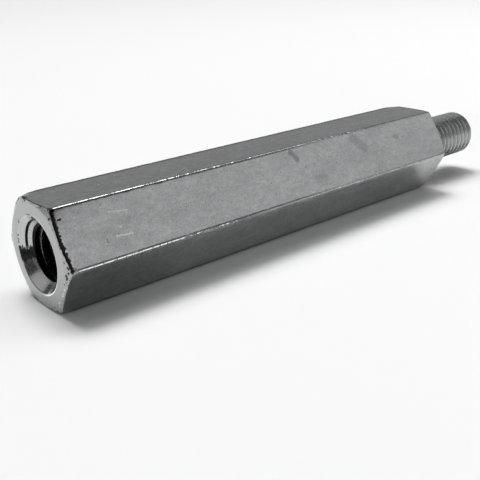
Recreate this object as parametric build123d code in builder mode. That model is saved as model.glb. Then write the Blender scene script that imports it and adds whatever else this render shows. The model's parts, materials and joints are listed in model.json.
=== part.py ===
"""Hexagonal threaded standoff, male and female, turned in one piece from drawn hexagon bar.

The part lies on one flat. Its frame has the origin at the centre of the female end face,
+X along the axis towards the stud, and +Z up, square to the flat it lies on.
The threads are given by their plain surfaces: the stud at its outside diameter and the
bore at its drilled diameter.
"""

import os
from math import cos, radians, tan

from build123d import *

# Hexagon bar, in millimetres
across_flats = 17.0
body_length = 92.0
bar_edge_radius = 0.35

# Turned chamfer that takes the corners off both ends
end_face_diameter = 16.2
end_chamfer_angle = 15.0

# Female end: a countersunk blind hole, drilled for an M10 x 1.5 thread
bore_diameter = 8.5
bore_depth = 24.0
drill_point_angle = 118.0
countersink_diameter = 12.6
countersink_angle = 90.0

# Male end: an M10 x 1.5 stud with a thread relief at the shoulder
stud_diameter = 9.8
stud_length = 19.0
tip_chamfer = 1.6
relief_diameter = 8.0
relief_length = 1.6
relief_ramp_angle = 45.0
shoulder_fillet = 0.4


def half_section(profile):
    """The face inside a closed half profile, given as (along the axis, radius) points."""
    with BuildSketch(Plane.XZ) as section:
        with BuildLine():
            Polyline(*profile, close=True)
        make_face()
    return section.sketch


def end_envelope():
    """The half profile that the bar is faced and chamfered to."""
    corner_radius = across_flats / 2 / cos(radians(30))
    face_radius = end_face_diameter / 2
    chamfer_length = (corner_radius - face_radius) * tan(radians(end_chamfer_angle))
    return [
        (0, 0),
        (0, face_radius),
        (chamfer_length, corner_radius),
        (body_length - chamfer_length, corner_radius),
        (body_length, face_radius),
        (body_length, 0),
    ]


def bore_profile():
    """Countersink, drilled wall and the cone that the drill's point leaves."""
    mouth_radius = countersink_diameter / 2
    bore_radius = bore_diameter / 2
    countersink_depth = (mouth_radius - bore_radius) / tan(radians(countersink_angle / 2))
    point_depth = bore_radius / tan(radians(drill_point_angle / 2))
    return [
        (0, 0),
        (0, mouth_radius),
        (countersink_depth, bore_radius),
        (bore_depth, bore_radius),
        (bore_depth + point_depth, 0),
    ]


def stud_profile():
    """Relief, ramp, plain outside diameter and chamfered tip, from the shoulder outwards."""
    stud_radius = stud_diameter / 2
    relief_radius = relief_diameter / 2
    ramp_start = body_length + relief_length
    ramp_end = ramp_start + (stud_radius - relief_radius) / tan(radians(relief_ramp_angle))
    tip = body_length + stud_length
    return [
        (body_length, 0),
        (body_length, relief_radius),
        (ramp_start, relief_radius),
        (ramp_end, stud_radius),
        (tip - tip_chamfer, stud_radius),
        (tip, stud_radius - tip_chamfer),
        (tip, 0),
    ]


with BuildPart() as standoff:
    # Drawn hexagon bar with its slightly rounded long edges, flats up and down
    with BuildSketch(Plane.YZ):
        RegularPolygon(radius=across_flats / 2, side_count=6, major_radius=False)
    extrude(amount=body_length)
    fillet(standoff.edges().filter_by(Axis.X), radius=bar_edge_radius)

    # Both ends are faced and their corners turned off on the lathe
    revolve(half_section(end_envelope()), axis=Axis.X, mode=Mode.INTERSECT)

    # The female end is countersunk and drilled
    revolve(half_section(bore_profile()), axis=Axis.X, mode=Mode.SUBTRACT)

    # The stud stands out of the other end
    revolve(half_section(stud_profile()), axis=Axis.X, mode=Mode.ADD)
    shoulder_edges = standoff.edges().filter_by_position(Axis.X, body_length, body_length)
    relief_root = shoulder_edges.filter_by(GeomType.CIRCLE).sort_by(SortBy.RADIUS)[0]
    fillet(relief_root, radius=shoulder_fillet)

standoff.part.label = "standoff"

os.makedirs("parts", exist_ok=True)
export_step(standoff.part, "parts/standoff.step")
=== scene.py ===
"""Hexagonal threaded standoff in plated steel, with its threads, turned ends and drawn flats.

The row frame is in metres: the origin is the centre of the female end face, +X runs along the
axis towards the stud and +Z is up. The standoff lies on one flat. Its own sizes and places are
in millimetres here, and MM turns them into metres.
"""

import json
from math import cos, pi, radians, sin, tan

import bpy
import numpy as np
from mathutils import Matrix, Vector


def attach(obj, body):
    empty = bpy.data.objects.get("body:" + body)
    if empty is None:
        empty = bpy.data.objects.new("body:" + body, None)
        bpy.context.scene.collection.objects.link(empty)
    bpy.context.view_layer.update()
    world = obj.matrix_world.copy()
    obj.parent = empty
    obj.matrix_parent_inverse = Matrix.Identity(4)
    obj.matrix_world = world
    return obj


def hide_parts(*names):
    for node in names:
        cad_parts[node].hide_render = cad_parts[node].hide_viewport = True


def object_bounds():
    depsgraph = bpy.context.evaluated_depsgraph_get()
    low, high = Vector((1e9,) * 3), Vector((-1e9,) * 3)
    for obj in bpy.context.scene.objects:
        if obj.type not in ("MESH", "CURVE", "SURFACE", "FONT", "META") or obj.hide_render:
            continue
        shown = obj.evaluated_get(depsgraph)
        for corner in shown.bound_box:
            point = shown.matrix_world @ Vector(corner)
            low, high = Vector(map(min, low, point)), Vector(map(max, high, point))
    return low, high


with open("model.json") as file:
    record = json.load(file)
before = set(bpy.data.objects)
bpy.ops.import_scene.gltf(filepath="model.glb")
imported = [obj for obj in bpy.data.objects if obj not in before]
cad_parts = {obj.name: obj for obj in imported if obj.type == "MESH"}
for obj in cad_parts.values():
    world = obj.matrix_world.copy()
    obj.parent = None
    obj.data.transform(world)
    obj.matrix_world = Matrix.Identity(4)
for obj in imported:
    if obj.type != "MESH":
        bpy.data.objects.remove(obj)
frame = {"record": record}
cad_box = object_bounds()

MM = 0.001
rng = np.random.default_rng(17)

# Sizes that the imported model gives
box_low, box_high = cad_box
mounts = {mount["name"]: mount for mount in frame["record"]["mounts"]}
across_flats = round((box_high[2] - box_low[2]) / MM, 3)
stud_tip = round(box_high[0] / MM, 3)
body_length = round(mounts["shoulder_face"]["pos_m"][0] / MM, 3)
drill_radius = mounts["threaded_bore"]["dims"]["r_mm"]
stud_radius = mounts["threaded_stud"]["dims"]["r_mm"]

# Hexagon bar, with the angles that its sides in view face, from +Y towards +Z
apothem = across_flats / 2
bar_edge_radius = 0.35
top_side = pi / 2
middle_side = 5 * pi / 6
lower_side = 7 * pi / 6

# Wear along the long edges: fine nicks, broad wear evened out over some rows, and a few dents
nick_shape = 1.4
fine_nick = 0.004
broad_wear = 0.03
broad_wear_rows = 9
dent_share = 0.015
dent_least, dent_most = 0.02, 0.06
deepest_nick = 0.09
nick_over_edge = (0.25, 0.75, 1.0, 1.0, 1.0, 0.75, 0.25)

# Turned chamfer at both ends, and the rounding where it meets the flats
end_face_radius = 8.1
end_chamfer_angle = 15.0
end_edge_radius = 0.16
chamfer_waver = 0.04
waver_columns = 3

# Wear of the hexagon's six corners at both ends, from the one on +Y round by +Z
corner_wear = (0.20, 0.48, 0.10, 0.12, 0.30, 0.28)
corner_wear_length = 0.9
corner_wear_spread = radians(4.5)

# Countersunk blind hole: its mouth is off centre by (y, z) and comes back to the axis with depth,
# and its broken edge has points (depth, outside the mouth's radius)
mouth_radius = 6.3
mouth_offset = (0.38, -0.12)
centred_depth = 1.9
broken_edge = ((0.075, -0.06), (0.03, 0.05), (0.008, 0.17), (0.0, 0.27))
countersink_depth = mouth_radius - drill_radius
bore_depth = 24.0
drill_point_angle = 118.0
point_depth = drill_radius / tan(radians(drill_point_angle / 2))

# Groove that the tool left round part of the cone. It runs out over a stretch that ends where the
# cosine of the angle from its middle is tool_mark_run_out
tool_mark_place = 0.97
tool_mark_width = 0.24
tool_mark_floor = 0.072
tool_mark_depth = 0.12
tool_mark_angle = radians(38)
tool_mark_run_out = 0.62
tool_mark_steepness = 4

# Stud
relief_radius = 4.0
relief_length = 1.6
shoulder_fillet = 0.4
tip_chamfer = 1.6
tip_face_radius = stud_radius - tip_chamfer
tip_face_edge = 0.06

# M10 x 1.5 thread, with the place along the axis where a groove or ridge crosses the +Y side
pitch = 1.5
flank_slope = tan(radians(30))
inner_thread_radius = 5.0
inner_root_flat = 0.19
inner_groove_start = 0.80
inner_thread_full = 18.5
inner_thread_end = 21.0
outer_root_radius = 4.22
outer_crest_flat = 0.28
outer_ridge_start = 0.6

# Mesh resolution, and the gaps between the rows of one stretch and the next
sides = 6
columns_per_side = 24
arc_columns = len(nick_over_edge)
columns = sides * columns_per_side
rows_per_pitch = 12
thread_row = pitch / rows_per_pitch
body_rows = 240
cone_rows = 22
hole_margin = 0.2
cone_margin = 0.15
plain_cone_depth = 1.2
plain_tip_length = 0.82
chamfer_shares = (0.0, 0.35, 0.7)
rounding_rows = 7
turned_rows = len(chamfer_shares) + rounding_rows // 2 + 1
row_gap = 0.08
sharp_angle = radians(32)

# Colours of the steel, bare or marked, with lighter and darker copies where light or shade is painted
cool_plate = (0.478, 0.497, 0.500)
warm_plate = (0.503, 0.509, 0.507)
faced_steel = (0.425, 0.428, 0.428)
lit_cone_steel = (0.54, 0.543, 0.543)
crest_steel = (0.47, 0.475, 0.475)
root_steel = (0.30, 0.30, 0.305)
shaded_hole_steel = (0.36, 0.36, 0.365)
rubbed_and_highlight_steel = (0.97, 0.97, 0.97)
speck_steel = (0.88, 0.88, 0.88)
fleck_steel = (0.80, 0.80, 0.80)
scratch_steel = (0.86, 0.86, 0.80)
flat_lump = (0.85, 0.85, 0.84)
face_lump = (0.92, 0.92, 0.92)

# Colours of pits, of what sticks to the steel, and of painted shade and dark reflections
smudge_grey = (0.22, 0.23, 0.235)
rub_grey = (0.20, 0.21, 0.215)
pit_and_edge_shade_grey = (0.13, 0.13, 0.135)
edge_shade_grey = (0.09, 0.09, 0.095)
groove_shade_black = (0.06, 0.06, 0.061)
pit_black = (0.04, 0.04, 0.041)
painted_shade_black = (0.022, 0.022, 0.023)
dark_reflection_black = (0.02, 0.02, 0.021)
mark_and_hole_shade_black = (0.012, 0.012, 0.012)

# Floor and the low white wall round it, in metres
floor_height = -apothem * MM
floor_reach = 4.0
wall_radius = 3.9
wall_top = 0.22
wall_panels = 48

# Dark card over the floor, in metres: two patches as (near x, far x, right y, left y)
card_patches = ((-0.036, -0.5, -0.45, 0.004), (-0.12, -0.5, 0.11, 0.42))
card_clearance = 0.0002

# Camera, in metres and degrees, with its lens and sensor in millimetres
camera_place = (-0.0434977, -0.0967253, 0.0421988)
camera_azimuth = -40.944
camera_elevation = 21.708
camera_roll = -1.262
camera_lens = 54.7934
camera_sensor = 36.0


def hexagon_section():
    """Radius and angle of each column round the rounded hexagon, starting at the corner on +Y."""
    centre = (apothem - bar_edge_radius) / cos(radians(30))
    half = arc_columns // 2
    flat_columns = columns_per_side - arc_columns

    def on_arc(corner, normal):
        return (
            centre * cos(corner) + bar_edge_radius * cos(normal),
            centre * sin(corner) + bar_edge_radius * sin(normal),
        )

    points = []
    for side in range(sides):
        corner = side * pi / 3
        next_corner = corner + pi / 3
        for k in range(-half, half + 1):
            points.append(on_arc(corner, corner + k / half * pi / 6))
        start = points[-1]
        end = on_arc(next_corner, next_corner - pi / 6)
        for k in range(1, flat_columns + 1):
            share = k / (flat_columns + 1)
            points.append(tuple(a + (b - a) * share for a, b in zip(start, end)))
    y, z = np.array(points).T
    return np.hypot(y, z), np.unwrap(np.arctan2(z, y))


def wear_at_ends():
    """How far each column is worn inward at the ends, most at the hexagon's corners."""
    from_corner = (hex_angle + pi / 6) % (pi / 3) - pi / 6
    nearest = np.round(hex_angle / (pi / 3)).astype(int) % sides
    return np.array(corner_wear)[nearest] * np.exp(-((from_corner / corner_wear_spread) ** 2))


hex_radius, hex_angle = hexagon_section()
round_angle = (np.arange(columns) - arc_columns // 2) * 2 * pi / columns
nick_share = np.tile(nick_over_edge + (0.0,) * (columns_per_side - arc_columns), sides)
end_wear = wear_at_ends()


def ring(x, radius, angle, off_centre=0.0):
    """A closed ring of points, in metres. Each value is one number, or one for each column."""
    x = np.broadcast_to(x, (columns,))
    y = radius * np.cos(angle) + mouth_offset[0] * np.broadcast_to(off_centre, (columns,))
    z = radius * np.sin(angle) + mouth_offset[1] * np.broadcast_to(off_centre, (columns,))
    return np.stack([x, y, z], axis=1) * MM


def mouth_share(x):
    """How far the countersink is off centre at each depth: 1 at its mouth, 0 at the thread."""
    return np.clip(1 - x / centred_depth, 0, 1)


def blended(share):
    """Column angles between the even ones of the round parts, at 0, and the hexagon's, at 1."""
    return round_angle + (hex_angle - round_angle) * share


def smoothed(values, width):
    """The running mean of a row of values."""
    return np.convolve(values, np.ones(width) / width, "same")


def from_helix(x, start):
    """Distance along the axis from the nearest turn of a right-hand helix."""
    turns = (x - start - pitch * round_angle / (2 * pi)) / pitch
    return (turns - np.round(turns)) * pitch


def snapped(x, start, corners):
    """The row at x, with each column moved to the thread form's corner where one is near."""
    moved = np.full(columns, float(x))
    for corner in corners:
        offset = from_helix(x, start + corner)
        moved = np.where(np.abs(offset) <= thread_row / 2, x - offset, moved)
    return moved


def thread_corners(flat, depth):
    """Places of the thread form's four corners from the middle of its narrow flat."""
    narrow = flat / 2
    wide = narrow + depth * flank_slope
    return (-wide, -narrow, narrow, wide)


def inner_radius(x):
    """Radius of the hole's wall: the tapped groove cut into the drilled wall and countersink."""
    cone = mouth_radius - x
    away = np.abs(from_helix(x, inner_groove_start))
    groove = inner_thread_radius - (away - inner_root_flat / 2) / flank_slope
    fade = np.clip((inner_thread_end - x) / (inner_thread_end - inner_thread_full), 0, 1)
    deepest = drill_radius + (inner_thread_radius - drill_radius) * fade
    return np.maximum(np.maximum(cone, drill_radius), np.minimum(groove, deepest))


def outer_radius(x):
    """Radius of the stud: the thread's ridge held inside the relief's ramp and the tip chamfer."""
    ramp = relief_radius + (x - body_length - relief_length)
    tip = stud_radius - (x - (stud_tip - tip_chamfer))
    envelope = np.minimum(np.minimum(ramp, tip), stud_radius)
    away = np.abs(from_helix(x, outer_ridge_start))
    ridge = stud_radius - (away - outer_crest_flat / 2) / flank_slope
    return np.minimum(envelope, np.clip(ridge, outer_root_radius, stud_radius))


def hole_rings():
    """Rings from the drill's point out to the start of the countersink's plain cone."""
    rings = []
    for share in (0.04, 0.35, 0.7, 0.96):
        x = bore_depth + point_depth * (1 - share)
        rings.append(ring(x, drill_radius * share, round_angle))
    for above_point in (0.0, 0.05, 1.0, 2.0):
        rings.append(ring(bore_depth - above_point, drill_radius, round_angle))
    corners = thread_corners(inner_root_flat, inner_thread_radius - drill_radius)
    for x in np.arange(inner_thread_end + hole_margin, countersink_depth + hole_margin, -thread_row):
        row = snapped(x, inner_groove_start, corners)
        rings.append(ring(row, inner_radius(row), round_angle))
    for x in np.linspace(countersink_depth + cone_margin, plain_cone_depth, cone_rows):
        row = np.full(columns, x)
        rings.append(ring(row, inner_radius(row), round_angle, mouth_share(row)))
    return rings


def countersink_rings():
    """Rings out along the countersink, over the tool mark, to its broken edge on the end face.

    The cone leans 45 degrees, so a cut square to it goes 0.7 of its depth along the axis and outwards.
    """
    rings = []
    side, floor = tool_mark_width / 2, tool_mark_floor / 2
    past_run_out = np.cos(round_angle - tool_mark_angle) - tool_mark_run_out
    around = np.clip(past_run_out * tool_mark_steepness, 0, 1)
    lean = 0.7
    for offset, depth in ((side, 0.0), (floor, 1.0), (-floor, 1.0), (-side, 0.0)):
        x = tool_mark_place + offset
        cut = tool_mark_depth * depth * around * lean
        rings.append(ring(x + cut, mouth_radius - x + cut, round_angle, mouth_share(x)))
    for x in (0.7, 0.45, 0.25, 0.12):
        rings.append(ring(x, mouth_radius - x, round_angle, mouth_share(x)))
    for x, outside in broken_edge:
        rings.append(ring(x, mouth_radius + outside, round_angle, 1.0))
    return rings


def face_rings(x, inner, outer, shares, off_centre=0.0):
    """Flat rings across an end of the bar, from the round inner edge towards the outer one."""
    return [
        ring(x, inner + (outer - inner) * share, blended(share), off_centre * (1 - share))
        for share in shares
    ]


def end_profile():
    """(along the axis, radius) of each column over the turned chamfer and on to the flats."""
    slope = tan(radians(end_chamfer_angle))
    turn = radians(90 - end_chamfer_angle)
    setback = end_edge_radius * tan(turn / 2)
    margin = waver_columns + 1
    draws = rng.normal(0, 1, columns + 2 * margin)
    waver = smoothed(draws, waver_columns)[margin:-margin] * chamfer_waver
    radius = hex_radius - end_wear
    corner_x = (radius - end_face_radius) * slope + waver
    reach = radius - setback * cos(radians(end_chamfer_angle)) - end_face_radius
    profile = [(reach * share * slope, end_face_radius + reach * share) for share in chamfer_shares]
    for k in range(rounding_rows):
        lean = turn * (1 - k / (rounding_rows - 1))
        profile.append((
            corner_x + setback - end_edge_radius * np.sin(lean),
            radius - end_edge_radius + end_edge_radius * np.cos(lean),
        ))
    return profile


def edge_nicks(rows):
    """How far each row of each long edge is worn or nicked inward."""
    fine = rng.gamma(nick_shape, fine_nick, (rows, sides))
    waves = rng.normal(0, broad_wear, (rows, sides))
    broad = np.abs(np.apply_along_axis(smoothed, 0, waves, broad_wear_rows))
    dented = rng.random((rows, sides)) > 1 - dent_share
    dents = dented * rng.uniform(dent_least, dent_most, (rows, sides))
    return np.clip(fine + broad + dents, 0, deepest_nick)


def bar_rings():
    """Rings from the turned chamfer of one end along the bar to that of the other."""
    near, far = end_profile(), end_profile()
    rings = [ring(x, radius, hex_angle) for x, radius in near]
    start = float(max(np.max(near[-1][0]), np.max(far[-1][0]))) + row_gap
    nicks = edge_nicks(body_rows)
    for x, nick in zip(np.linspace(start, body_length - start, body_rows), nicks):
        nearest_end = min(x, body_length - x)
        wear = end_wear * np.exp(-(nearest_end - start) / corner_wear_length)
        drop = nick_share * np.repeat(nick, columns_per_side) + wear
        rings.append(ring(x, hex_radius - drop, hex_angle))
    rings += [ring(body_length - x, radius, hex_angle) for x, radius in reversed(far)]
    return rings


def relief_rings():
    """Rings through the fillet at the shoulder and along the relief."""
    rings = []
    steps = 5
    for k in range(steps + 1):
        turn = radians(90) * k / steps
        rings.append(ring(
            body_length + shoulder_fillet * (1 - cos(turn)),
            relief_radius + shoulder_fillet * (1 - sin(turn)),
            round_angle,
        ))
    for before_ramp in (0.4, 0.0):
        rings.append(ring(body_length + relief_length - before_ramp, relief_radius, round_angle))
    return rings


def stud_rings():
    """Rings along the stud's thread to where the tip chamfer is below the thread's root."""
    rings = []
    corners = thread_corners(outer_crest_flat, stud_radius - outer_root_radius)
    start = body_length + relief_length + thread_row / 2
    for x in np.arange(start, stud_tip - plain_tip_length, thread_row):
        row = snapped(x, outer_ridge_start, corners)
        rings.append(ring(row, outer_radius(row), round_angle))
    return rings


def tip_rings():
    """Rings over the plain part of the tip chamfer and the tip's flat face."""
    rings = []
    for before_tip in (0.6, 0.35, 0.12, 0.04):
        rings.append(ring(stud_tip - before_tip, tip_face_radius + before_tip, round_angle))
    rings.append(ring(stud_tip, tip_face_radius - tip_face_edge, round_angle))
    for share in (0.9, 0.6, 0.3, 0.05):
        rings.append(ring(stud_tip, tip_face_radius * share, round_angle))
    return rings


def loft(name, sections, first_point, last_point):
    """A closed mesh over (rings, material) sections, capped by a fan at each end."""
    points = np.concatenate([r for rings, _ in sections for r in rings])
    vertices = [tuple(p) for p in points] + [first_point, last_point]
    row_material = [material for rings, material in sections for _ in rings]
    first, last = len(vertices) - 2, len(vertices) - 1
    faces, face_material = [], []
    for r in range(len(row_material) - 1):
        for c in range(columns):
            d = (c + 1) % columns
            a, b = r * columns + c, r * columns + d
            faces.append((a, a + columns, b + columns))
            faces.append((a, b + columns, b))
            face_material += [row_material[r + 1]] * 2
    top = (len(row_material) - 1) * columns
    for c in range(columns):
        d = (c + 1) % columns
        faces.append((first, c, d))
        faces.append((last, top + d, top + c))
        face_material += [row_material[0], row_material[-1]]
    mesh = bpy.data.meshes.new(name)
    mesh.from_pydata(vertices, [], faces)
    mesh.polygons.foreach_set("material_index", face_material)
    return mesh


def on_side(turn, x, across):
    """A place on the bar's side that faces this angle, across from the side's middle line."""
    return (
        x,
        apothem * cos(turn) + across * sin(turn),
        apothem * sin(turn) - across * cos(turn),
    )


class Graph:
    """Short names for the nodes of a steel material, with places in millimetres."""

    def __init__(self, name):
        self.material = bpy.data.materials.new(name)
        self.material.use_nodes = True
        self.tree = self.material.node_tree
        self.shader = self.tree.nodes["Principled BSDF"]
        metres = self.node("ShaderNodeTexCoord").outputs["Object"]
        self.position = self.scaled(metres, 1 / MM)
        apart = self.node("ShaderNodeSeparateXYZ")
        self.link(self.position, apart.inputs[0])
        self.x, self.y, self.z = apart.outputs
        self.radius = self.vector("LENGTH", self.stretched(0))

    def node(self, kind):
        return self.tree.nodes.new(kind)

    def link(self, source, socket):
        self.tree.links.new(source, socket)

    def feed(self, value, socket):
        if isinstance(value, bpy.types.NodeSocket):
            self.link(value, socket)
        else:
            socket.default_value = value

    def math(self, operation, a, b=0.0, clamp=False):
        node = self.node("ShaderNodeMath")
        node.operation = operation
        node.use_clamp = clamp
        self.feed(a, node.inputs[0])
        self.feed(b, node.inputs[1])
        return node.outputs[0]

    def less(self, a, b):
        """The first value less the second."""
        return self.math("SUBTRACT", a, b)

    def rest(self, share):
        """What a share leaves of 1."""
        return self.less(1.0, share)

    def total(self, *values):
        result = values[0]
        for value in values[1:]:
            result = self.math("ADD", result, value)
        return result

    def product(self, *values):
        result = values[0]
        for value in values[1:]:
            result = self.math("MULTIPLY", result, value)
        return result

    def most(self, *values):
        """The largest of several values."""
        result = values[0]
        for value in values[1:]:
            result = self.math("MAXIMUM", result, value)
        return result

    def vector(self, operation, a, b=(0, 0, 0)):
        node = self.node("ShaderNodeVectorMath")
        node.operation = operation
        self.feed(a, node.inputs[0])
        self.feed(b, node.inputs[1])
        return node.outputs["Value" if operation in ("LENGTH", "DISTANCE", "DOT_PRODUCT") else "Vector"]

    def scaled(self, vector, factor):
        """A vector or a colour times one number or value."""
        node = self.node("ShaderNodeVectorMath")
        node.operation = "SCALE"
        self.feed(vector, node.inputs[0])
        self.feed(factor, node.inputs["Scale"])
        return node.outputs["Vector"]

    def combine(self, x, y, z):
        node = self.node("ShaderNodeCombineXYZ")
        for value, socket in zip((x, y, z), node.inputs):
            self.feed(value, socket)
        return node.outputs[0]

    def stretched(self, share):
        """The position with its length along the bar shortened, which draws a pattern out."""
        return self.vector("MULTIPLY", self.position, (share, 1, 1))

    def facing(self, turn):
        """Distance of the point from the axis in the direction at this angle round it."""
        return self.vector("DOT_PRODUCT", self.position, (0, cos(turn), sin(turn)))

    def on_flat(self, turn, to_low=0.0, to_high=1.0):
        """1, or the higher value, on the side of the bar that faces this angle."""
        return self.remap(self.facing(turn), apothem - 0.10, apothem - 0.02, to_low, to_high)

    def noise(self, where, scale, detail=2.0, roughness=0.5):
        node = self.node("ShaderNodeTexNoise")
        self.link(where, node.inputs["Vector"])
        node.inputs["Scale"].default_value = scale
        node.inputs["Detail"].default_value = detail
        node.inputs["Roughness"].default_value = roughness
        return node.outputs["Fac"]

    def ragged(self):
        """Noise round 0 that makes the outline of the painted shade at the hole's end uneven."""
        return self.less(self.noise(self.position, 2.6, 4.0, 0.75), 0.5)

    def remap(self, value, low, high, to_low=0.0, to_high=1.0):
        """A smooth step from one value to another. It falls where low is above high."""
        node = self.node("ShaderNodeMapRange")
        node.interpolation_type = "SMOOTHSTEP"
        self.link(value, node.inputs["Value"])
        for name, number in zip(("From Min", "From Max", "To Min", "To Max"), (low, high, to_low, to_high)):
            node.inputs[name].default_value = number
        return node.outputs[0]

    def pits(self, scale, size, share, seed):
        """Small round pits of one radius, at this share of a field of scattered points."""
        node = self.node("ShaderNodeTexVoronoi")
        self.link(self.vector("ADD", self.position, (seed, 2 * seed, 3 * seed)), node.inputs["Vector"])
        node.inputs["Scale"].default_value = scale
        apart = self.node("ShaderNodeSeparateColor")
        self.link(node.outputs["Color"], apart.inputs[0])
        inside = self.remap(node.outputs["Distance"], size * scale * 1.25, size * scale * 0.75)
        picked = self.remap(apart.outputs[0], 1 - share - 0.02, 1 - share + 0.02)
        return self.product(inside, picked)

    def stroke(self, start, end, half_width):
        """1 on a short uneven line between two places, and 0 away from it."""
        run = Vector(end) - Vector(start)
        offset = self.vector("SUBTRACT", self.position, start)
        share = self.vector("DOT_PRODUCT", offset, tuple(run / run.length_squared))
        share = self.math("MINIMUM", self.math("MAXIMUM", share, 0.0), 1.0)
        away = self.vector("DISTANCE", offset, self.scaled(tuple(run), share))
        uneven = self.less(self.noise(self.position, 4.5, 2.0), 0.5)
        away = self.total(away, self.product(uneven, half_width * 2.2))
        return self.remap(away, half_width * 1.3, half_width * 0.6)

    def side_stroke(self, side, start, end, half_width):
        """A stroke on a side of the bar, between two places (along the bar, across the side)."""
        return self.stroke(on_side(side, *start), on_side(side, *end), half_width)

    def blend(self, share, a, b):
        """From one colour to another, as the share goes from 0 to 1."""
        node = self.node("ShaderNodeMix")
        node.data_type = "RGBA"
        self.feed(share, node.inputs["Factor"])
        colours = [s for s in node.inputs if s.type == "RGBA"]
        for value, socket in zip((a, b), colours):
            if isinstance(value, tuple):
                socket.default_value = (*value, 1)
            else:
                self.link(value, socket)
        return [s for s in node.outputs if s.type == "RGBA"][0]

    def bump(self, height, distance):
        node = self.node("ShaderNodeBump")
        node.inputs["Strength"].default_value = 1.0
        node.inputs["Distance"].default_value = distance * MM
        self.link(height, node.inputs["Height"])
        return node.outputs[0]

    def finish(self, colour, roughness, normal):
        self.shader.inputs["Metallic"].default_value = 1.0
        self.link(colour, self.shader.inputs["Base Color"])
        self.link(roughness, self.shader.inputs["Roughness"])
        self.link(normal, self.shader.inputs["Normal"])
        return self.material

class BarGraph(Graph):
    """The nodes of the drawn bar, with what several of its layers share."""

    def __init__(self, name):
        super().__init__(name)
        self.on_top = self.on_flat(top_side)
        self.on_middle = self.on_flat(middle_side)
        self.on_lower = self.on_flat(lower_side)
        self.reach = self.edge_reach()
        self.blotches = self.noise(self.stretched(0.6), 1.3, 4.0, 0.65)
        self.grain = self.noise(self.position, 4.2, 3.0, 0.75)
        self.streaks = self.noise(self.stretched(0.035), 3.2, 3.0, 0.6)
        self.chips = self.noise(self.stretched(0.9), 1.7, 4.0, 0.75)

    def edge_reach(self):
        """How far out the second nearest side is: nearly the apothem at a long edge, less between."""
        a, b, c = (self.math("ABSOLUTE", self.facing(turn)) for turn in (pi / 6, pi / 2, 5 * pi / 6))
        lower, upper = self.math("MINIMUM", a, b), self.math("MAXIMUM", a, b)
        return self.math("MAXIMUM", lower, self.math("MINIMUM", upper, c))

    def near_edge(self, start, full):
        """Rises towards a long edge, between two drops below the reach where its rounding starts."""
        at_rounding = apothem - bar_edge_radius / 2
        return self.remap(self.reach, at_rounding - start, at_rounding - full)


def plate_colour(g):
    """Cloudy grey plate: blotches, faint streaks along the bar, and a grain that is finer on top."""
    clouds = g.noise(g.stretched(0.45), 0.34, 4.0, 0.6)
    coarse = g.remap(g.grain, 0.28, 0.72, 0.85, 1.14)
    fine = g.remap(g.grain, 0.28, 0.72, 0.955, 1.045)
    tone = g.product(
        g.remap(clouds, 0.3, 0.7, 0.92, 1.06),
        g.remap(g.blotches, 0.3, 0.7, 0.93, 1.06),
        g.remap(g.streaks, 0.3, 0.7, 0.98, 1.02),
        g.total(g.product(coarse, g.rest(g.on_top)), g.product(fine, g.on_top)),
    )
    return g.scaled(g.blend(g.remap(g.blotches, 0.35, 0.65), cool_plate, warm_plate), tone)


def shaded_and_flecked_lower_side(g, colour):
    """The side above the floor: painted shade, darker towards the threaded hole, and pale flecks along its
    upper edge.
    """
    # Painted shade: the lower side is darkened most near the threaded hole
    colour = g.scaled(colour, g.rest(g.product(g.on_lower, g.remap(g.x, 4.0, 28.0, 0.38, 0.03))))
    near_upper_edge = g.remap(g.z, -4.2, -0.6, 0.0, 0.6)
    fleck = g.product(g.on_lower, g.pits(2.6, 0.10, 0.5, 11), near_upper_edge, g.remap(g.x, 75.0, 25.0))
    return g.blend(fleck, colour, fleck_steel)


def plate_pits(g):
    """A few small pits, and finer ones in patches, fewer on top."""
    patch = g.remap(g.noise(g.position, 0.22, 2.0), 0.35, 0.6, 0.35, 1.0)
    fine = g.product(g.pits(2.4, 0.07, 0.34, 5), patch, g.rest(g.product(g.on_top, 0.8)))
    return g.most(g.pits(1.15, 0.085, 0.10, 3), fine)


def handling_marks(g, colour):
    """Light scratches and specks, a dark rub across the middle side, and a few smudges."""
    light = g.most(
        g.side_stroke(middle_side, (9.1, 2.27), (12.4, 1.83), 0.09),
        g.side_stroke(middle_side, (9.14, -1.56), (11.87, -1.81), 0.15),
        g.side_stroke(middle_side, (10.2, -0.38), (10.4, -0.47), 0.12),
        g.side_stroke(top_side, (6.9, 2.5), (7.0, 2.5), 0.10),
        g.side_stroke(top_side, (4.7, 2.2), (4.75, 2.2), 0.12),
        g.side_stroke(top_side, (10.2, 1.0), (10.25, 1.0), 0.10),
        g.side_stroke(top_side, (12.6, -1.6), (12.65, -1.6), 0.12),
    )
    rub = g.side_stroke(middle_side, (48.3, 4.02), (49.3, 2.32), 0.55)
    smudge = g.most(
        g.side_stroke(middle_side, (65.4, 3.325), (67.6, 1.32), 1.1),
        g.side_stroke(middle_side, (77.6, 1.72), (78.3, 1.525), 0.55),
        g.product(g.side_stroke(middle_side, (52.8, -2.08), (54.6, -2.275), 0.9), 0.5),
    )
    colour = g.blend(g.product(light, 0.62), colour, scratch_steel)
    colour = g.blend(g.product(rub, 0.62), colour, rub_grey)
    return g.blend(g.product(smudge, 0.42), colour, smudge_grey)


def deep_pits(g):
    """Deep pits: two on the middle side near the threaded hole, and one at the top's front edge."""
    return g.most(
        g.side_stroke(middle_side, (1.15, 3.04), (1.45, 3.04), 0.17),
        g.product(g.side_stroke(middle_side, (7.40, -1.59), (7.42, -2.09), 0.09), 0.6),
        g.side_stroke(top_side, (0.32, 2.3), (0.42, 3.2), 0.33),
    )


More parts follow.
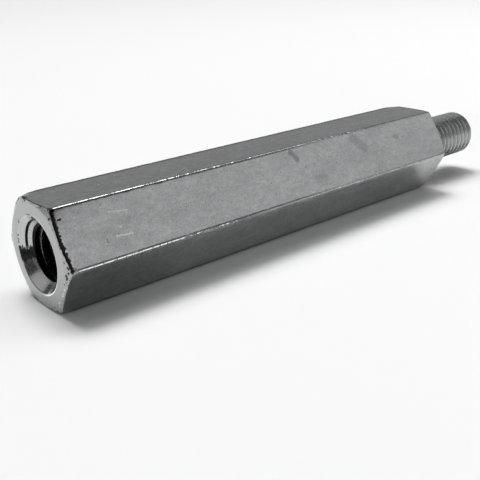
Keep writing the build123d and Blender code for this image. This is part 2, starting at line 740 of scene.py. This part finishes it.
def painted_edge_shade(g, colour):
    """Painted shade and dark reflections as lines on the sides beside the long edges, broken and fading
    towards the stud.
    """
    rounding = g.near_edge(0.015, -0.025)
    beside = g.math("SUBTRACT", g.near_edge(0.225, 0.125), rounding, clamp=True)
    broken = g.remap(g.chips, 0.34, 0.50, 0.35, 1.0)
    fading = g.remap(g.x, 42.0, 60.0, 1.0, 0.12)
    front = g.product(beside, g.on_flat(middle_side, 0.25, 0.9), broken, fading)
    back = g.product(g.near_edge(0.775, 0.475), g.on_top, g.remap(g.y, 0.0, 1.0), 0.8)
    bottom = g.product(g.near_edge(0.375, 0.175), g.on_lower, g.remap(g.z, -4.0, -6.0), 0.75)
    # Painted shade: dark lines beside the long edges
    return g.blend(g.most(front, back, bottom), colour, edge_shade_grey)


def worn_edges_and_painted_light(g, colour):
    """The long edges: rubbed wear in dashes, painted near white as highlight, that get rare towards the
    stud, and painted shade in between.
    """
    rounding, crown = g.near_edge(0.015, -0.025), g.near_edge(-0.035, -0.075)
    dashes = g.remap(g.less(g.chips, g.remap(g.x, 0.0, 45.0, 0.40, 0.62)), -0.01, 0.03)
    no_highlight_pair = g.remap(g.math("ABSOLUTE", g.facing(pi / 3)), 9.0, 9.2)
    # Painted highlight: rubbed dashes on the edges' crowns go near white
    rubbed = g.product(crown, dashes, g.rest(no_highlight_pair))
    lower_dashes = g.product(g.remap(g.chips, 0.44, 0.52), g.remap(g.z, 4.0, 2.0), 0.6)
    # Painted shade: the roundings darken between the highlights, fading towards the stud
    dark = g.product(rounding, g.most(g.remap(g.x, 30.0, 58.0, 0.85, 0.0), lower_dashes))
    return g.blend(rubbed, g.blend(dark, colour, pit_and_edge_shade_grey), rubbed_and_highlight_steel)


def flat_end_shade(g, colour):
    """Black ragged painted shade where the sides run out at the threaded hole's end, with pale lumps."""
    middle = g.facing(middle_side)
    chamfer = g.product(g.less(g.radius, end_face_radius), tan(radians(end_chamfer_angle)))
    past = g.less(g.less(g.x, chamfer), g.product(g.ragged(), 1.5))
    width = g.total(
        g.remap(middle, 7.8, 8.4, -0.02, 0.56),
        g.remap(g.facing(top_side), 8.0, 8.4, 0.0, 0.08),
        g.product(g.on_middle, g.near_edge(0.625, 0.025), 0.22),
    )
    width = g.less(width, g.remap(g.facing(lower_side), 8.2, 8.45, 0.0, 0.35))
    shade_band = g.remap(g.less(past, width), 0.05, -0.08)
    lumps = g.product(g.pits(1.7, 0.22, 0.75, 19), g.remap(past, 1.0, 0.6), g.remap(middle, 8.3, 8.45))
    # Painted shade: the sides go black where they run out at the threaded hole's end
    colour = g.blend(shade_band, colour, painted_shade_black)
    return g.blend(g.product(lumps, g.rest(shade_band), 0.6), colour, flat_lump)


def drawn_steel():
    """Plated bar stock: cloudy grey, drawn lengthwise, with pits, specks, worn long edges with painted
    highlights, and painted shade on its lower side, beside its edges and at the threaded hole's end.
    """
    g = BarGraph("drawn_steel")
    pit, deep = plate_pits(g), deep_pits(g)
    colour = shaded_and_flecked_lower_side(g, plate_colour(g))
    colour = g.blend(g.product(pit, 0.6), colour, pit_and_edge_shade_grey)
    colour = g.blend(g.product(g.pits(0.8, 0.10, 0.13, 31), 0.65), colour, speck_steel)
    colour = g.blend(deep, handling_marks(g, colour), pit_black)
    colour = flat_end_shade(g, worn_edges_and_painted_light(g, painted_edge_shade(g, colour)))

    roughness = g.remap(g.noise(g.position, 0.8, 3.0, 0.6), 0.3, 0.7, 0.19, 0.27)
    roughness = g.total(roughness, g.product(pit, 0.35))
    fine_streaks = g.noise(g.stretched(0.035), 11.0, 2.0, 0.6)
    height = g.total(g.product(g.grain, 0.6), g.product(fine_streaks, 0.3), g.product(g.streaks, 0.35))
    height = g.less(height, g.product(g.most(pit, deep), 5.0))
    return g.finish(colour, roughness, g.bump(height, 0.005))


def dark_reflection_patch(g):
    """Painted dark reflection on the side of the countersink towards +Y, its ends streaked along the tool
    marks.
    """
    along_marks = g.combine(g.radius, g.product(g.z, 0.12), 0.0)
    streaks = g.product(g.less(g.noise(along_marks, 3.8, 3.0, 0.8), 0.5), 0.6)
    lift = g.total(g.math("DIVIDE", g.z, g.radius), streaks)
    ends = g.product(g.remap(lift, -0.06, -0.10), g.remap(lift, -0.52, -0.40))
    in_countersink = g.product(g.remap(g.x, 0.04, 0.10), g.remap(g.x, 3.0, 2.5))
    return g.product(ends, g.remap(g.y, 2.0, 3.0), in_countersink)


def painted_rim_highlight(g, colour):
    """Painted highlight on the broken edge of the countersink's mouth, brightest on its far side."""
    in_depth = g.product(g.remap(g.x, 0.004, 0.014), g.remap(g.x, 0.11, 0.07))
    in_radius = g.product(g.remap(g.radius, 5.6, 5.8), g.remap(g.radius, 6.95, 6.85))
    return g.blend(g.product(in_depth, in_radius, g.remap(g.y, 0.5, -2.0)), colour, rubbed_and_highlight_steel)


def tool_mark(g):
    """Where the tool's groove round the cone is darkened, over part of its round."""
    off_groove = g.math("ABSOLUTE", g.less(g.x, tool_mark_place + 0.03))
    above = g.product(g.remap(g.z, -1.2, -0.2), g.remap(g.y, 0.3, 1.6))
    return g.product(g.remap(off_groove, 0.17, 0.12), g.remap(g.radius, 6.0, 5.9), above)


def mark_to_mouth(g):
    """A thin dark line from the tool's groove up to the mouth and along it."""
    return g.most(
        g.stroke((0.0, 2.2, 6.0), (0.0, 0.9, 6.28), 0.09),
        g.stroke((0.05, 0.9, 6.24), (0.5, 0.55, 5.8), 0.09),
        g.stroke((0.5, 0.55, 5.8), (0.95, 0.85, 5.3), 0.09),
    )


def single_pits(g):
    """Single pits on the end face: at its top, by its front corner, low down and at the mouth."""
    return g.most(
        g.stroke((0.1, 2.3, 8.45), (0.1, 3.1, 8.45), 0.26),
        g.stroke((0.0, -8.45, -0.9), (0.0, -8.5, -0.7), 0.27),
        g.stroke((0.0, -3.6, -7.45), (0.0, -3.5, -7.5), 0.16),
        g.stroke((0.2, 0.5, -8.4), (0.2, 0.4, -8.4), 0.18),
        g.stroke((0.1, 5.05, 4.4), (0.1, 5.25, 3.85), 0.11),
        g.stroke((0.1, 6.30, 1.6), (0.1, 6.32, 1.5), 0.10),
        g.stroke((0.1, 6.42, 0.85), (0.1, 6.42, 0.2), 0.10),
    )


def turned_steel():
    """Faced, chamfered and countersunk ends: fine concentric tool marks, pitted at the edges."""
    g = Graph("turned_steel")
    round_axis = g.vector("ADD", g.combine(g.radius, g.x, 0.0), g.scaled(g.position, 0.05))
    tool_rings = g.noise(round_axis, 4.5, 4.0, 0.7)
    broad_rings = g.noise(round_axis, 1.3, 1.0)
    grain = g.noise(g.position, 6.0, 3.0, 0.7)
    tone = g.product(g.remap(tool_rings, 0.25, 0.75, 0.94, 1.05), g.remap(grain, 0.3, 0.7, 0.96, 1.04))

    # The countersink and the stud's plain parts are painted brighter than the faced ends, as painted light.
    # A painted dark reflection lies over the countersink
    inside_mouth = g.remap(g.radius, 6.9, 6.7)
    colour = g.blend(g.product(g.remap(g.x, 0.03, 0.10), inside_mouth), faced_steel, lit_cone_steel)
    # Painted highlight on the mouth's broken edge
    colour = painted_rim_highlight(g, g.scaled(colour, tone))
    # Painted dark reflection on the countersink's side towards +Y
    colour = g.blend(g.product(dark_reflection_patch(g), inside_mouth, 0.96), colour, dark_reflection_black)
    mark = tool_mark(g)
    colour = g.blend(g.most(mark, g.product(mark_to_mouth(g), 0.9)), colour, mark_and_hole_shade_black)

    # Pits follow the outer edge, and reach further in on the lower left, where pale lumps join them
    at_end = g.remap(g.x, 1.0, 0.9)
    lower_left = g.remap(g.facing(lower_side), 7.0, 7.6)
    outward = g.total(g.radius, g.product(lower_left, 0.35))
    edge_pits = g.product(g.pits(1.6, 0.20, 0.8, 7), g.remap(outward, 8.12, 8.3), at_end)
    lumps = g.product(g.pits(1.6, 0.22, 0.8, 23), lower_left, g.remap(outward, 8.2, 8.5), at_end)
    pit = g.most(edge_pits, single_pits(g))
    colour = g.blend(g.product(lumps, 0.7), colour, face_lump)
    colour = g.blend(pit, colour, pit_black)

    # Painted shade covers the chamfer where it meets the middle side
    middle = g.total(g.facing(middle_side), g.product(g.ragged(), 0.5))
    colour = g.blend(g.product(g.remap(middle, 8.30, 8.40), at_end), colour, painted_shade_black)

    roughness = g.remap(tool_rings, 0.3, 0.7, 0.15, 0.25)
    height = g.total(tool_rings, g.product(broad_rings, 1.2))
    height = g.less(height, g.product(g.most(pit, mark), 4.0))
    return g.finish(colour, roughness, g.bump(height, 0.008))


def thread_steel():
    """Cut threads: bright rubbed crests over darker flanks and roots."""
    g = Graph("thread_steel")
    along_cut = g.combine(g.radius, g.product(g.x, 0.5), 0.0)
    marks = g.noise(g.vector("ADD", along_cut, g.scaled(g.position, 0.1)), 7.0, 3.0, 0.7)
    grain = g.noise(g.position, 3.0, 3.0, 0.7)
    tone = g.product(g.remap(marks, 0.3, 0.7, 0.88, 1.1), g.remap(grain, 0.3, 0.7, 0.85, 1.12))
    colour = g.scaled(g.blend(g.remap(g.radius, 4.15, 4.85), root_steel, crest_steel), tone)
    roughness = g.remap(grain, 0.3, 0.7, 0.24, 0.38)
    return g.finish(colour, roughness, g.bump(g.total(marks, grain), 0.01))


def bore_steel():
    """The tapped hole and the cone's foot in painted shade: dark steel, darker grooves, most in the first,
    and near black from the first turn in.
    """
    g = Graph("bore_steel")
    grain = g.noise(g.position, 2.5, 3.0, 0.7)
    groove = g.remap(g.less(g.radius, drill_radius), 0.01, 0.10)
    cone = g.remap(g.x, 1.62, 1.58)
    # Painted shade: the hole's steel is dark and its grooves darker
    colour = g.blend(groove, shaded_hole_steel, groove_shade_black)
    # Painted shade: near black from the first turn in
    colour = g.blend(g.remap(g.x, 2.72, 2.58), colour, mark_and_hole_shade_black)
    # Painted light: the cone's foot gets the lighter copy of the steel
    colour = g.blend(cone, colour, lit_cone_steel)
    # Painted dark reflection on the cone's foot
    colour = g.blend(g.product(cone, dark_reflection_patch(g), 0.96), colour, dark_reflection_black)
    colour = g.scaled(colour, g.remap(grain, 0.3, 0.7, 0.85, 1.1))
    roughness = g.remap(grain, 0.3, 0.7, 0.22, 0.36)
    return g.finish(colour, roughness, g.bump(grain, 0.012))


DRAWN, TURNED, THREAD, BORE = range(4)


def add_object(name, data):
    made = bpy.data.objects.new(name, data)
    bpy.context.scene.collection.objects.link(made)
    return made


def make_standoff():
    """One closed surface from the drill's point, round both ends of the bar, to the stud's tip."""
    face_edge = mouth_radius + broken_edge[-1][1]
    shoulder = relief_radius + shoulder_fillet
    bar = bar_rings()
    mesh = loft(
        "standoff_dressed",
        [
            (hole_rings(), BORE),
            (countersink_rings(), TURNED),
            (face_rings(0.0, face_edge, end_face_radius, (0.1, 0.3, 0.5, 0.7, 0.9), 1.0), TURNED),
            (bar[:turned_rows], TURNED),
            (bar[turned_rows:-turned_rows + 1], DRAWN),
            (bar[-turned_rows + 1:], TURNED),
            (face_rings(body_length, shoulder, end_face_radius, (0.85, 0.6, 0.3, 0.1)), TURNED),
            (relief_rings(), TURNED),
            (stud_rings(), THREAD),
            (tip_rings(), TURNED),
        ],
        ((bore_depth + point_depth) * MM, 0, 0),
        (stud_tip * MM, 0, 0),
    )
    mesh.shade_smooth()
    mesh.set_sharp_from_angle(angle=sharp_angle)
    for material in (drawn_steel(), turned_steel(), thread_steel(), bore_steel()):
        mesh.materials.append(material)
    piece = add_object("standoff_dressed", mesh)
    normals = piece.modifiers.new("weighted_normals", "WEIGHTED_NORMAL")
    normals.keep_sharp = True
    normals.weight = 80
    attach(piece, "root")
    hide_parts("standoff")


def plain_material(name, colour, roughness=0.5):
    """A material of one colour, with its shader."""
    material = bpy.data.materials.new(name)
    material.use_nodes = True
    shader = material.node_tree.nodes["Principled BSDF"]
    shader.inputs["Base Color"].default_value = (*colour, 1)
    shader.inputs["Roughness"].default_value = roughness
    return material, shader


def level_mesh(name, patches, height):
    """A mesh of level rectangles, each given as (near x, far x, right y, left y)."""
    points, faces = [], []
    for near, far, right, left in patches:
        faces.append(tuple(range(len(points), len(points) + 4)))
        points += [(x, y, height) for x, y in ((near, right), (far, right), (far, left), (near, left))]
    mesh = bpy.data.meshes.new(name)
    mesh.from_pydata(points, [], faces)
    return mesh


def make_floor():
    mesh = level_mesh("floor", ((-floor_reach, floor_reach, -floor_reach, floor_reach),), floor_height)
    floor = add_object("floor", mesh)
    material, shader = plain_material("pale_floor", (0.93, 0.93, 0.93), 0.9)
    shader.inputs["Specular IOR Level"].default_value = 0.1
    mesh.materials.append(material)


def make_backdrop():
    """A low white wall round the floor, for views that look out over its edge."""
    points, faces = [], []
    for k in range(wall_panels):
        turn = 2 * pi * k / wall_panels
        x, y = wall_radius * cos(turn), wall_radius * sin(turn)
        points += [(x, y, floor_height), (x, y, wall_top)]
        a, b = 2 * k, 2 * ((k + 1) % wall_panels)
        faces.append((a, b, b + 1, a + 1))
    mesh = bpy.data.meshes.new("backdrop")
    mesh.from_pydata(points, [], faces)
    wall = add_object("backdrop", mesh)
    material, shader = plain_material("white_wall", (0, 0, 0))
    shader.inputs["Emission Color"].default_value = (0.92, 0.92, 0.92, 1)

    # White to the camera and in reflections, but it lights nothing
    tree = material.node_tree
    seen = tree.nodes.new("ShaderNodeLightPath")
    total = seen.outputs["Is Camera Ray"]
    for other in ("Is Glossy Ray", "Is Transmission Ray"):
        either = tree.nodes.new("ShaderNodeMath")
        either.operation = "MAXIMUM"
        tree.links.new(total, either.inputs[0])
        tree.links.new(seen.outputs[other], either.inputs[1])
        total = either.outputs[0]
    tree.links.new(total, shader.inputs["Emission Strength"])
    mesh.materials.append(material)


def make_dark_card():
    """Two dark patches just over the floor, out of the camera's view, that only reflections show."""
    mesh = level_mesh("dark_card", card_patches, floor_height + card_clearance)
    card = add_object("dark_card", mesh)
    material, _ = plain_material("dark_card", (0.03, 0.03, 0.03), 0.9)
    mesh.materials.append(material)
    card.visible_camera = False
    card.visible_diffuse = False
    card.visible_shadow = False


def aimed(lamp, towards):
    """Turns a lamp so that it shines from this direction, which is returned at length 1."""
    direction = Vector(towards).normalized()
    lamp.rotation_mode = "QUATERNION"
    lamp.rotation_quaternion = direction.to_track_quat("Z", "Y")
    return direction


def soft_box(name, towards, distance, width, height, radiance):
    """A rectangular lamp at a distance from the middle of the bar, facing it. Sizes are in metres."""
    lamp = bpy.data.lights.new(name, "AREA")
    lamp.shape = "RECTANGLE"
    lamp.size = width
    lamp.size_y = height
    lamp.energy = radiance * width * height * pi
    box = add_object(name, lamp)
    box.location = Vector((body_length / 2 * MM, 0, 0)) + aimed(box, towards) * distance


def make_lights():
    sky = bpy.data.lights.new("sky_light", "SUN")
    sky.energy = 2.3
    sky.angle = radians(28)
    aimed(add_object("sky_light", sky), (0.05, 0.38, 0.90))
    soft_box("front_box", (0.62, -0.66, 0.46), distance=0.8, width=1.1, height=0.45, radiance=0.58)
    soft_box("back_box", (0.62, 0.70, 0.33), distance=0.9, width=1.2, height=0.5, radiance=0.24)
    soft_box("edge_box", (0.44, 0.10, 0.88), distance=0.8, width=0.35, height=0.5, radiance=2.6)
    soft_box("rear_box", (-0.62, -0.64, 0.42), distance=0.9, width=1.0, height=0.5, radiance=0.26)
    soft_box("left_box", (-0.62, 0.48, 0.62), distance=0.8, width=0.7, height=0.6, radiance=0.46)


def make_world():
    world = bpy.data.worlds.new("studio")
    bpy.context.scene.world = world
    world.use_nodes = True
    background = world.node_tree.nodes["Background"]
    background.inputs["Color"].default_value = (0.05, 0.05, 0.052, 1)
    background.inputs["Strength"].default_value = 1.0


def make_camera():
    data = bpy.data.cameras.new("camera")
    data.lens = camera_lens
    data.sensor_width = camera_sensor
    data.clip_start = 0.005
    camera = add_object("camera", data)
    turn = Matrix.Rotation(radians(camera_azimuth), 4, "Z")
    tilt = Matrix.Rotation(radians(90 - camera_elevation), 4, "X")
    roll = Matrix.Rotation(radians(camera_roll), 4, "Z")
    camera.matrix_world = Matrix.Translation(camera_place) @ turn @ tilt @ roll
    bpy.context.scene.camera = camera


make_standoff()
make_floor()
make_backdrop()
make_dark_card()
make_lights()
make_world()
make_camera()
bpy.context.scene.view_settings.view_transform = "Standard"
